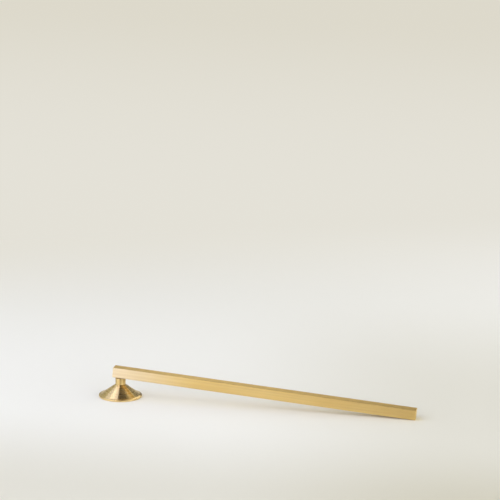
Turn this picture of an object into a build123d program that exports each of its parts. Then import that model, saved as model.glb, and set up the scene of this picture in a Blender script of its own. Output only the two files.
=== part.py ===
"""Brass candle snuffer: a plain square bar handle and a small turned bell that swings on a hidden pin.

The snuffer is modelled as it lies on a table. The bell's mouth is flat on the table at Z = 0, with its
centre at the origin, and the bar slopes down along +X until its far lower edge touches the table too.
All lengths are in millimetres.
"""

import os
from math import acos, asin, atan2, cos, degrees, hypot, sin

from build123d import *

os.makedirs("parts", exist_ok=True)

# Square bar handle
bar_side = 8.0
bar_length = 244.0
bar_edge_radius = 0.25
pin_setback = 5.6  # from the bar's near end to the pin's axis

# Bell, turned from solid rod
mouth_radius = 17.25
lip_height = 1.3
lip_edge_radius = 0.3
lip_foot_radius = 0.2
brim_width = 1.65
brim_rise = 0.3
flare_radius = 3.0  # hollow curve between the brim and the cone
bell_height = 10.0
bell_wall = 1.2
crown_thickness = 2.0
crown_inner_fillet = 0.5
rim_inner_edge_radius = 0.2

# Neck post: a round shank with a flat tang on top
neck_radius = 4.1
neck_length = 5.3
neck_edge_break = 0.3
neck_foot_break = 0.1
tang_radius = 2.3
tang_thickness = 2.8

# Pivot between the tang and the bar
shoulder_gap = 0.6  # between the neck's shoulder and the bar's underside, square to the bar
tang_side_clearance = 0.15
tang_end_clearance = 0.3
swing_margin = 0.06  # left between shoulder and bar where the swing ends

# Pivot pin, pressed in from the bar's back so that the front face stays bare
pin_radius = 1.25
pin_running_clearance = 0.05
pin_front_skin = 1.0
pin_end_chamfer = 0.15

# Screw that clamps the bell to the neck from inside the bell
screw_radius = 1.5
screw_thread_length = 4.5
screw_tip_chamfer = 0.3
screw_tip_room = 0.5
screw_hole_clearance = 0.1
screw_head_radius = 2.75
screw_head_height = 1.9
screw_head_fillet = 0.4
screw_slot_width = 0.8
screw_slot_depth = 0.8

# Heights up the bell's axis
shoulder_height = bell_height + neck_length
pin_drop = bar_side / 2  # from the pin's axis to the bar's underside
pivot_height = shoulder_height + shoulder_gap + pin_drop

# Slope of the bar: its rounded far lower edge comes down to the table
far_run = bar_length - pin_setback - bar_edge_radius
far_drop = pin_drop - bar_edge_radius
bar_slope = asin((pivot_height - bar_edge_radius) / hypot(far_run, far_drop)) - atan2(far_drop, far_run)

# Swing each way from square to the bar, ended by the neck's shoulder
shoulder_radius = neck_radius - neck_edge_break
shoulder_drop = pin_drop + shoulder_gap
swing_limit = acos((pin_drop + swing_margin) / hypot(shoulder_drop, shoulder_radius)) - atan2(
    shoulder_radius, shoulder_drop
)

# Slot in the bar's underside that the tang swings in
slot_width = tang_thickness + 2 * tang_side_clearance
slot_depth = pin_drop + tang_radius + tang_end_clearance
slot_half_length = tang_radius * cos(swing_limit) + pin_drop * sin(swing_limit)

# Inside of the bell: a cone parallel to the outside
brim_inner_radius = mouth_radius - brim_width
cone_drop = bell_height - lip_height - brim_rise
cone_run = brim_inner_radius - neck_radius
wall_height = bell_wall * hypot(cone_run, cone_drop) / cone_run
crown_height = bell_height - crown_thickness
crown_inner_radius = neck_radius + (crown_thickness - wall_height) * cone_run / cone_drop
mouth_inner_radius = neck_radius + (bell_height - wall_height) * cone_run / cone_drop

# The bar's own frame: X along the bar, Z square to its top, origin on the pin's axis
bar_frame = Plane(
    origin=(0, 0, pivot_height),
    x_dir=(cos(bar_slope), 0, -sin(bar_slope)),
    z_dir=(sin(bar_slope), 0, cos(bar_slope)),
)
near_end = Plane(
    origin=bar_frame.from_local_coords((-pin_setback, 0, 0)),
    x_dir=bar_frame.y_dir,
    z_dir=bar_frame.x_dir,
)
underside = Plane(
    origin=bar_frame.from_local_coords((0, 0, -pin_drop)),
    x_dir=bar_frame.x_dir,
    z_dir=bar_frame.z_dir,
)
back_face = Plane(
    origin=bar_frame.from_local_coords((0, bar_side / 2, 0)),
    x_dir=bar_frame.x_dir,
    z_dir=-bar_frame.y_dir,
)

# Handle bar: square stock with the tang's slot and the blind pin hole
with BuildPart() as handle_bar:
    with BuildSketch(near_end):
        Rectangle(bar_side, bar_side)
    extrude(amount=bar_length)
    fillet(handle_bar.edges(), radius=bar_edge_radius)
    with BuildSketch(underside):
        SlotCenterToCenter(2 * slot_half_length, slot_width)
    extrude(amount=slot_depth, mode=Mode.SUBTRACT)
    with BuildSketch(back_face):
        Circle(pin_radius)
    extrude(amount=bar_side - pin_front_skin, mode=Mode.SUBTRACT)
handle_bar.part.label = "handle_bar"
export_step(handle_bar.part, "parts/handle_bar.step")

# Pivot pin: a plain dowel, flush with the bar's back
with BuildPart() as pivot_pin:
    with BuildSketch(back_face):
        Circle(pin_radius)
    extrude(amount=bar_side - pin_front_skin)
    chamfer(pivot_pin.edges().filter_by(GeomType.CIRCLE), length=pin_end_chamfer)
pivot_pin.part.label = "pivot_pin"
export_step(pivot_pin.part, "parts/pivot_pin.step")

# Neck: a turned shank, the flat tang with its cross hole, and the tapped hole in the foot
with BuildPart() as neck:
    with BuildSketch(Plane.XY.offset(bell_height)):
        Circle(neck_radius)
    extrude(amount=neck_length)
    chamfer(neck.edges().sort_by(Axis.Z)[-1], length=neck_edge_break)
    chamfer(neck.edges().sort_by(Axis.Z)[0], length=neck_foot_break)
    with BuildSketch(Plane.XZ):
        with Locations((0, pivot_height)):
            Circle(tang_radius)
        with Locations((0, shoulder_height)):
            Rectangle(2 * tang_radius, pivot_height - shoulder_height, align=(Align.CENTER, Align.MIN))
    extrude(amount=tang_thickness / 2, both=True)
    with BuildSketch(Plane.XZ):
        with Locations((0, pivot_height)):
            Circle(pin_radius + pin_running_clearance)
    extrude(amount=tang_thickness / 2, both=True, mode=Mode.SUBTRACT)
    with BuildSketch(Plane.XY.offset(bell_height)):
        Circle(screw_radius)
    extrude(amount=screw_thread_length + screw_tip_room, mode=Mode.SUBTRACT)
neck.part.label = "neck"
export_step(neck.part, "parts/neck.step")

# Bell: a shallow hollow cone with a flared brim, a short upright lip and a thick drilled crown
lip_foot = (mouth_radius, 0)
lip_top = (mouth_radius, lip_height)
brim_foot = (brim_inner_radius, lip_height + brim_rise)
crown_edge = (neck_radius, bell_height)
hole_top = (screw_radius + screw_hole_clearance, bell_height)
hole_foot = (screw_radius + screw_hole_clearance, crown_height)
crown_corner = (crown_inner_radius, crown_height)
rim_inside = (mouth_inner_radius, 0)
outside = (lip_foot, lip_top, brim_foot, crown_edge)
inside = (hole_top, hole_foot, crown_corner, rim_inside)
rounded_corners = (
    (lip_foot, lip_foot_radius),
    (lip_top, lip_edge_radius),
    (brim_foot, flare_radius),
    (crown_corner, crown_inner_fillet),
    (rim_inside, rim_inner_edge_radius),
)
with BuildPart() as bell:
    with BuildSketch(Plane.XZ) as bell_section:
        with BuildLine():
            Polyline(*outside, *inside, close=True)
        make_face()
        for corner, radius in rounded_corners:
            fillet(bell_section.vertices().sort_by_distance(corner)[0], radius=radius)
    revolve(axis=Axis.Z)
bell.part.label = "bell"
export_step(bell.part, "parts/bell.step")

# Bell screw: a slotted cheese-head screw, its head inside the bell and its thread in the neck's foot
with BuildPart() as bell_screw:
    with BuildSketch(Plane.XY.offset(crown_height)):
        Circle(screw_head_radius)
    extrude(amount=-screw_head_height)
    fillet(bell_screw.edges().sort_by(Axis.Z)[0], radius=screw_head_fillet)
    with BuildSketch(Plane.XY.offset(crown_height)):
        Circle(screw_radius)
    extrude(amount=crown_thickness + screw_thread_length)
    chamfer(bell_screw.edges().sort_by(Axis.Z)[-1], length=screw_tip_chamfer)
    with BuildSketch(Plane.XY.offset(crown_height - screw_head_height)):
        Rectangle(2 * screw_head_radius, screw_slot_width)
    extrude(amount=screw_slot_depth, mode=Mode.SUBTRACT)
bell_screw.part.label = "bell_screw"
export_step(bell_screw.part, "parts/bell_screw.step")

# Figures that the assembly goes by
print(f"bar slope {degrees(bar_slope):.3f} degrees")
print(f"swing each way from square to the bar {degrees(swing_limit):.3f} degrees")
print(f"pivot height {pivot_height:.3f} mm")
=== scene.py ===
"""Brass candle snuffer lying on a pale table in soft studio light.

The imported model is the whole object: a square brushed bar, a turned neck and bell, a pin and a
screw. This script gives them their finish, and adds the table, the lights and the camera. It
works in metres, with +Z up and the origin at the middle of the bell's mouth.
"""

from math import cos, pi, radians, sin, tan

import bpy
from mathutils import Matrix, Vector

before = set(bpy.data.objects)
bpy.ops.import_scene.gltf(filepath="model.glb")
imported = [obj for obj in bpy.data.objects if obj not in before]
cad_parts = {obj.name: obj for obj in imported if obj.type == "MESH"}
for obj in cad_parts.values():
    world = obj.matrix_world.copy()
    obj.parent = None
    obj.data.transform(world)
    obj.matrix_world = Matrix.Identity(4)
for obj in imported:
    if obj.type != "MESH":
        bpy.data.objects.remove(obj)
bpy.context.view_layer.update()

# Camera, from the photograph's perspective
IMAGE_SIDE = 500
FOCAL_PIXELS = 1877
SENSOR_MILLIMETRES = 36
CAMERA_PLACE = (0.3626, -1.4015, 0.4480)
CAMERA_TURN = radians(10.491)
CAMERA_PITCH = radians(12.705)
CAMERA_ROLL = radians(1.300)
NEAREST_SEEN = 0.01
FARTHEST_SEEN = 20

# The bar's slope, and the height of its pin's axis above the table
BAR_SLOPE = radians(3.830)
PIVOT_HEIGHT = 0.0199

# Shades of brass mixed in: at worn edges, a painted highlight on the bar's front near the bell, in
# bands and streaks
WORN_BRASS = (0.82, 0.67, 0.40, 1)
PAINTED_HIGHLIGHT_BRASS = (0.90, 0.77, 0.55, 1)
BAND_BRASS = (0.55, 0.37, 0.15, 1)
STREAK_BRASS = (0.86, 0.68, 0.34, 1)

# Brushed brass: noise cells per metre along and across the bar, depth of the brushing, edge wear
GRAIN_CELLS = (22, 5200, 5200)
BAND_CELLS = (9, 900, 900)
BLOTCH_CELLS = (28, 90, 90)
BRUSHING_DEPTH = 0.000012
BRUSHED_WEAR_RADIUS = 0.0005

# Turned brass: noise cells per metre of cuts and slow shade changes, depth of the rings, edge wear
CUT_CELLS = (900, 900, 900)
PATINA_CELLS = (140, 140, 140)
RING_DEPTH = 0.0000015
TURNED_WEAR_RADIUS = 0.0002

# Paper of the table, bright and painted dim as light falls off: lit by the lamps near the snuffer,
# shown unlit far from it
LIT_BRIGHT = (0.94, 0.93, 0.87, 1)
LIT_PAINTED_DIM = (0.81, 0.79, 0.70, 1)
UNLIT_BRIGHT = (0.877, 0.871, 0.839, 1)
UNLIT_PAINTED_DIM = (0.76, 0.735, 0.655, 1)
MOST_UNLIT_PAINTED_DIMMING = 1.3
FIBRE_CELLS = (900, 900, 900)
TABLE_HALF_SIDE = 6

# The snuffer's middle, and how far from it the unlit paper starts and is alone
SNUFFER_MIDDLE = (0.12, 0, 0)
UNLIT_STARTS = 0.20
UNLIT_ALONE = 0.65

# The room, and the backdrop low in it, which fades into the room between two sines of elevation
ROOM = (0.050, 0.045, 0.038, 1)
BACKDROP = (0.725, 0.694, 0.600, 1)
BACKDROP_FADES = 0.13
BACKDROP_ENDS = 0.22

SOFTBOX_DISTANCE = 2.0


class Nodes:
    """A shader's node tree. All methods but feed add nodes and return the sockets they end in."""

    def __init__(self, tree):
        self.tree = tree

    def add(self, kind, sockets=None, output=0, **settings):
        node = self.tree.nodes.new("ShaderNode" + kind)
        for name, value in settings.items():
            setattr(node, name, value)
        for key, value in (sockets or {}).items():
            self.feed(node.inputs[key], value)
        return node.outputs[output]

    def feed(self, socket, value):
        """Link another socket to this one, or give it a plain value."""
        if isinstance(value, bpy.types.NodeSocket):
            self.tree.links.new(value, socket)
        else:
            socket.default_value = value

    def math(self, operation, first, second):
        return self.add("Math", {0: first, 1: second}, operation=operation)

    def measure(self, operation, *vectors):
        """A number from one or two vectors, such as the distance between them."""
        sockets = dict(enumerate(vectors))
        return self.add("VectorMath", sockets, output="Value", operation=operation)

    def axes(self, vector):
        """The three outputs X, Y and Z."""
        return self.add("SeparateXYZ", {"Vector": vector}).node.outputs

    def noise(self, place, cells, detail, roughness=0.5):
        """Noise with so many cells per metre along each axis."""
        stretched = self.add("VectorMath", {0: place, 1: cells}, operation="MULTIPLY")
        sockets = {"Vector": stretched, "Scale": 1.0, "Detail": detail, "Roughness": roughness}
        return self.add("TexNoise", sockets)

    def ramp(self, value, start, stop, first=0, last=1):
        """Smooth change from first to last, as the value goes from start to stop."""
        spans = {"From Min": start, "From Max": stop, "To Min": first, "To Max": last}
        return self.add("MapRange", {"Value": value, **spans}, interpolation_type="SMOOTHSTEP")

    def mix(self, factor, first, second):
        """Mix of two colours, with its sockets by number: their names stand for other types too."""
        sockets = {0: factor, 6: first, 7: second}
        return self.add("Mix", sockets, output=2, data_type="RGBA", clamp_factor=False)

    def background_rays(self):
        """One for the rays that see the background, straight or in a gloss or through glass."""
        rays = self.add("LightPath").node.outputs
        glossy = self.math("MAXIMUM", rays["Is Glossy Ray"], rays["Is Transmission Ray"])
        return self.math("MAXIMUM", rays["Is Camera Ray"], glossy)


class Finish(Nodes):
    """One procedural material."""

    def __init__(self, name):
        self.material = bpy.data.materials.new(name)
        self.material.use_nodes = True
        super().__init__(self.material.node_tree)
        self.shader = self.tree.nodes["Principled BSDF"]

    def set(self, **sockets):
        """Feed the shader's sockets, named with underscores for spaces."""
        for name, value in sockets.items():
            self.feed(self.shader.inputs[name.replace("_", " ")], value)

    def object_place(self):
        return self.add("TexCoord", output="Object")

    def bar_place(self):
        """Place in the bar's own frame: X along it, Z square to its top, origin on the pin."""
        lift = Matrix.Rotation(-BAR_SLOPE, 3, "Y") @ Vector((0, 0, PIVOT_HEIGHT))
        turned_and_lifted = {"Rotation": (0, -BAR_SLOPE, 0), "Location": -lift}
        return self.add("Mapping", {"Vector": self.object_place(), **turned_and_lifted})

    def along_bar(self):
        """Direction of the brushing, as the shader's tangent wants it."""
        sockets = {"Vector": (cos(BAR_SLOPE), 0, -sin(BAR_SLOPE))}
        spaces = {"convert_from": "OBJECT", "convert_to": "WORLD"}
        return self.add("VectorTransform", sockets, vector_type="VECTOR", **spaces)

    def round_axis(self):
        """Direction of the lathe lines."""
        return self.add("Tangent", direction_type="RADIAL", axis="Z")

    def facing_front(self):
        """One where the surface looks along -Y, out of the front, and minus one at the back."""
        normal = self.axes(self.add("TexCoord", output="Normal"))
        return self.math("MULTIPLY", normal["Y"], -1.0)

    def lathe_place(self):
        """Radius and height of a point, so that a pattern over them is rings round the axis."""
        place = self.axes(self.object_place())
        flat = self.add("CombineXYZ", {"X": place["X"], "Y": place["Y"]})
        return self.add("CombineXYZ", {"X": self.measure("LENGTH", flat), "Z": place["Z"]})

    def edge_wear(self, radius):
        """One on sharp edges and zero on flats, from the lean of the bevelled normal."""
        bevelled = self.add("Bevel", {"Radius": radius}, samples=6)
        true_normal = self.add("NewGeometry", output="Normal")
        return self.ramp(self.measure("DOT_PRODUCT", bevelled, true_normal), 0.80, 0.99, 1, 0)

    def bump(self, height, distance):
        return self.add("Bump", {"Height": height, "Distance": distance})


def brushed_brass(name, dark, light):
    """Satin brass brushed along the bar, with a painted highlight making its front paler near the
    bell.

    It has fine streaks, faint broader bands, soft blotches and worn edges.
    """
    finish = Finish(name)
    place = finish.bar_place()
    grain = finish.noise(place, GRAIN_CELLS, detail=3.0, roughness=0.6)
    bands = finish.noise(place, BAND_CELLS, detail=2.0)
    blotches = finish.noise(place, BLOTCH_CELLS, detail=3.0)
    along = finish.axes(place)["X"]
    wear = finish.edge_wear(BRUSHED_WEAR_RADIUS)
    golden = finish.mix(finish.ramp(blotches, 0.3, 0.7), dark, light)
    # Painted highlight: the bar's front is made paler near the bell, as where it mirrors the bright
    # lamps
    front = finish.ramp(finish.facing_front(), 0.2, 0.8)
    highlight_near_bell = finish.ramp(along, -0.010, 0.065, 1, 0)
    with_painted_highlight = finish.mix(finish.math("MULTIPLY", front, highlight_near_bell), golden, PAINTED_HIGHLIGHT_BRASS)
    banded = finish.mix(finish.ramp(bands, 0.30, 0.70, 0.28, 0), with_painted_highlight, BAND_BRASS)
    streaked = finish.mix(finish.ramp(grain, 0.35, 0.65, 0, 0.30), banded, STREAK_BRASS)
    worn = finish.mix(finish.math("MULTIPLY", wear, 0.5), streaked, WORN_BRASS)
    satin = finish.ramp(grain, 0.35, 0.65, 0.38, 0.46)
    finish.set(
        Base_Color=worn,
        Metallic=1.0,
        Roughness=finish.math("ADD", satin, finish.math("MULTIPLY", wear, -0.06)),
        Anisotropic=0.96,
        Anisotropic_Rotation=0.25,
        Tangent=finish.along_bar(),
        Normal=finish.bump(finish.math("ADD", grain, bands), BRUSHING_DEPTH),
    )
    return finish.material


def turned_brass(name, dark, light, lines, roughness):
    """Brass from the lathe, with so many fine rings per metre, and bright worn edges.

    Broader cuts and a patina change its shade slowly.
    """
    finish = Finish(name)
    place = finish.lathe_place()
    rings = finish.noise(place, (lines, lines, lines), detail=3.0, roughness=0.6)
    cuts = finish.noise(place, CUT_CELLS, detail=1.0)
    patina = finish.noise(finish.object_place(), PATINA_CELLS, detail=3.0)
    wear = finish.edge_wear(TURNED_WEAR_RADIUS)
    half_cuts = finish.math("MULTIPLY", cuts, 0.5)
    tone = finish.math("ADD", half_cuts, finish.math("MULTIPLY", patina, 0.5))
    shade = finish.mix(finish.ramp(tone, 0.35, 0.65), dark, light)
    finish.set(
        Base_Color=finish.mix(finish.math("MULTIPLY", wear, 0.2), shade, WORN_BRASS),
        Metallic=1.0,
        Roughness=finish.ramp(rings, 0.25, 0.75, roughness - 0.02, roughness + 0.03),
        Anisotropic=0.95,
        Anisotropic_Rotation=0.25,
        Tangent=finish.round_axis(),
        Normal=finish.bump(rings, RING_DEPTH),
    )
    return finish.material


def dress_nodes():
    finishes = {
        "handle_bar": brushed_brass(
            "brushed_bar_brass",
            dark=(0.74, 0.52, 0.18, 1),
            light=(0.77, 0.56, 0.21, 1),
        ),
        "pivot_pin": brushed_brass(
            "dressed_pin_brass",
            dark=(0.67, 0.45, 0.15, 1),
            light=(0.71, 0.49, 0.17, 1),
        ),
        "neck": turned_brass(
            "turned_neck_brass",
            dark=(0.62, 0.45, 0.19, 1),
            light=(0.67, 0.50, 0.23, 1),
            lines=6000,
            roughness=0.40,
        ),
        "bell": turned_brass(
            "turned_bell_brass",
            dark=(0.71, 0.52, 0.24, 1),
            light=(0.75, 0.57, 0.28, 1),
            lines=5000,
            roughness=0.26,
        ),
        "bell_screw": turned_brass(
            "screw_brass",
            dark=(0.66, 0.47, 0.23, 1),
            light=(0.71, 0.52, 0.26, 1),
            lines=4000,
            roughness=0.30,
        ),
    }
    for node, material in finishes.items():
        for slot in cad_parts[node].material_slots:
            slot.material = material


def add_camera():
    data = bpy.data.cameras.new("camera")
    data.sensor_width = SENSOR_MILLIMETRES
    data.lens = data.sensor_width * FOCAL_PIXELS / IMAGE_SIDE
    data.clip_start = NEAREST_SEEN
    data.clip_end = FARTHEST_SEEN
    camera = bpy.data.objects.new("camera", data)
    turn = Matrix.Rotation(CAMERA_TURN, 4, "Z")
    pitch = Matrix.Rotation(pi / 2 - CAMERA_PITCH, 4, "X")
    roll = Matrix.Rotation(CAMERA_ROLL, 4, "Z")
    camera.matrix_world = Matrix.Translation(CAMERA_PLACE) @ turn @ pitch @ roll
    bpy.context.scene.collection.objects.link(camera)
    bpy.context.scene.camera = camera


def pale_paper():
    """Matt pale paper with a painted pool of light: brightest in a slanting band that the snuffer
    lies in, painted dimmer all round it as light falls off.

    Its painted dimming goes by metres to the right and back from the bell.
    """
    finish = Finish("pale_paper")
    place = finish.object_place()
    axes = finish.axes(place)
    right, back = axes["X"], axes["Y"]

    # Painted falloff: the paper's colour grows dimmer away from the band the snuffer lies in, as
    # light would
    slant = finish.math("MULTIPLY", right, 0.6)
    behind = finish.ramp(finish.math("SUBTRACT", back, slant), 0.12, 0.70, 0, 0.85)
    farther = finish.ramp(back, 0.8, 3.2, 0, 0.45)
    before = finish.ramp(back, -0.22, -0.04, 1.25, 0)
    skew = finish.math("MULTIPLY", back, 0.2)
    beside = finish.ramp(finish.math("ADD", right, skew), 0.06, 0.27)
    beside = finish.math("MULTIPLY", beside, finish.ramp(back, 0.05, 0.40, 1, 0))
    beyond = finish.math("ADD", behind, farther)
    painted_dimming = finish.math("ADD", beyond, finish.math("ADD", before, beside))
    fibres = finish.noise(place, FIBRE_CELLS, detail=3.0, roughness=0.6)
    painted_dimming = finish.math("ADD", painted_dimming, finish.ramp(fibres, 0.2, 0.8, -0.05, 0.05))
    finish.set(Base_Color=finish.mix(painted_dimming, LIT_BRIGHT, LIT_PAINTED_DIM), Roughness=0.7)

    # Far from the snuffer, where the lamps fall off, the background shows the same colour unlit,
    # painted dimming and all
    away = finish.measure("DISTANCE", place, SNUFFER_MIDDLE)
    far = finish.ramp(away, UNLIT_STARTS, UNLIT_ALONE)
    far_painted_dimming = finish.math("MINIMUM", painted_dimming, MOST_UNLIT_PAINTED_DIMMING)
    far_paper = finish.mix(far_painted_dimming, UNLIT_BRIGHT, UNLIT_PAINTED_DIM)
    unlit = finish.add("Emission", {"Color": far_paper})
    share = finish.math("MULTIPLY", far, finish.background_rays())
    surface = finish.add("MixShader", {0: share, 1: finish.shader.outputs["BSDF"], 2: unlit})
    finish.feed(finish.tree.nodes["Material Output"].inputs["Surface"], surface)
    return finish.material


def add_table():
    mesh = bpy.data.meshes.new("table")
    side = TABLE_HALF_SIDE
    corners = [(-side, -side, 0), (side, -side, 0), (side, side, 0), (-side, side, 0)]
    mesh.from_pydata(corners, [], [(0, 1, 2, 3)])
    table = bpy.data.objects.new("table", mesh)
    bpy.context.scene.collection.objects.link(table)
    table.data.materials.append(pale_paper())


def add_softbox(name, place, size, radiance, color):
    """A softbox that faces the bell, hidden from the camera.

    Its place is azimuth and elevation and its size is width and height, as angles in degrees seen
    from the bell. Azimuth 0 is in front of the bar, and minus is to the left.
    """
    turn, lift = (radians(angle) for angle in place)
    width, height = (2 * SOFTBOX_DISTANCE * tan(radians(angle / 2)) for angle in size)
    towards = Vector((sin(turn) * cos(lift), -cos(turn) * cos(lift), sin(lift)))
    data = bpy.data.lights.new(name, "AREA")
    data.shape = "RECTANGLE"
    data.size = width
    data.size_y = height
    data.energy = pi * data.size * data.size_y * radiance
    data.color = color
    light = bpy.data.objects.new(name, data)
    light.location = towards * SOFTBOX_DISTANCE
    light.visible_camera = False
    light.rotation_euler = (-towards).to_track_quat("-Z", "Y").to_euler()
    bpy.context.scene.collection.objects.link(light)


def add_world():
    """A dim room. Low over the horizon, the background carries the paper's colour on."""
    world = bpy.data.worlds.new("studio")
    world.use_nodes = True
    nodes = Nodes(world.node_tree)
    height = nodes.axes(nodes.add("TexCoord", output="Generated"))["Z"]
    low = nodes.ramp(height, BACKDROP_FADES, BACKDROP_ENDS, 1, 0)
    backdrop = nodes.math("MULTIPLY", low, nodes.background_rays())
    color = nodes.mix(backdrop, ROOM, BACKDROP)
    nodes.feed(nodes.tree.nodes["Background"].inputs["Color"], color)
    bpy.context.scene.world = world


add_camera()
dress_nodes()
add_table()
add_world()
add_softbox("key_left", place=(-62, 20), size=(44, 36), radiance=2.1, color=(0.92, 1.00, 1.13))
add_softbox("key_front", place=(-18, 20), size=(42, 30), radiance=2.45, color=(1.03, 1.00, 1.06))
add_softbox("high_left", place=(-54, 46), size=(36, 24), radiance=2.35, color=(0.97, 1.00, 1.14))
add_softbox("front_right", place=(50, 16), size=(52, 28), radiance=2.4, color=(0.95, 1.00, 1.04))
add_softbox("right", place=(100, 32), size=(60, 44), radiance=1.65, color=(1.03, 1.00, 0.82))
add_softbox("back_right", place=(125, 11), size=(75, 18), radiance=1.15, color=(0.97, 1.00, 0.90))
add_softbox("back", place=(-178, 35), size=(16, 26), radiance=1.9, color=(1.06, 1.00, 0.82))
add_softbox("back_left", place=(-142, 30), size=(44, 32), radiance=0.5, color=(0.97, 1.00, 0.80))
add_softbox("left", place=(-95, 22), size=(36, 30), radiance=0.9, color=(0.99, 1.00, 0.95))
add_softbox("high_back", place=(-127, 54), size=(28, 24), radiance=1.2, color=(0.94, 1.00, 1.40))
add_softbox("top", place=(-80, 71), size=(40, 22), radiance=1.4, color=(0.97, 1.00, 1.35))
bpy.context.scene.view_settings.view_transform = "Standard"
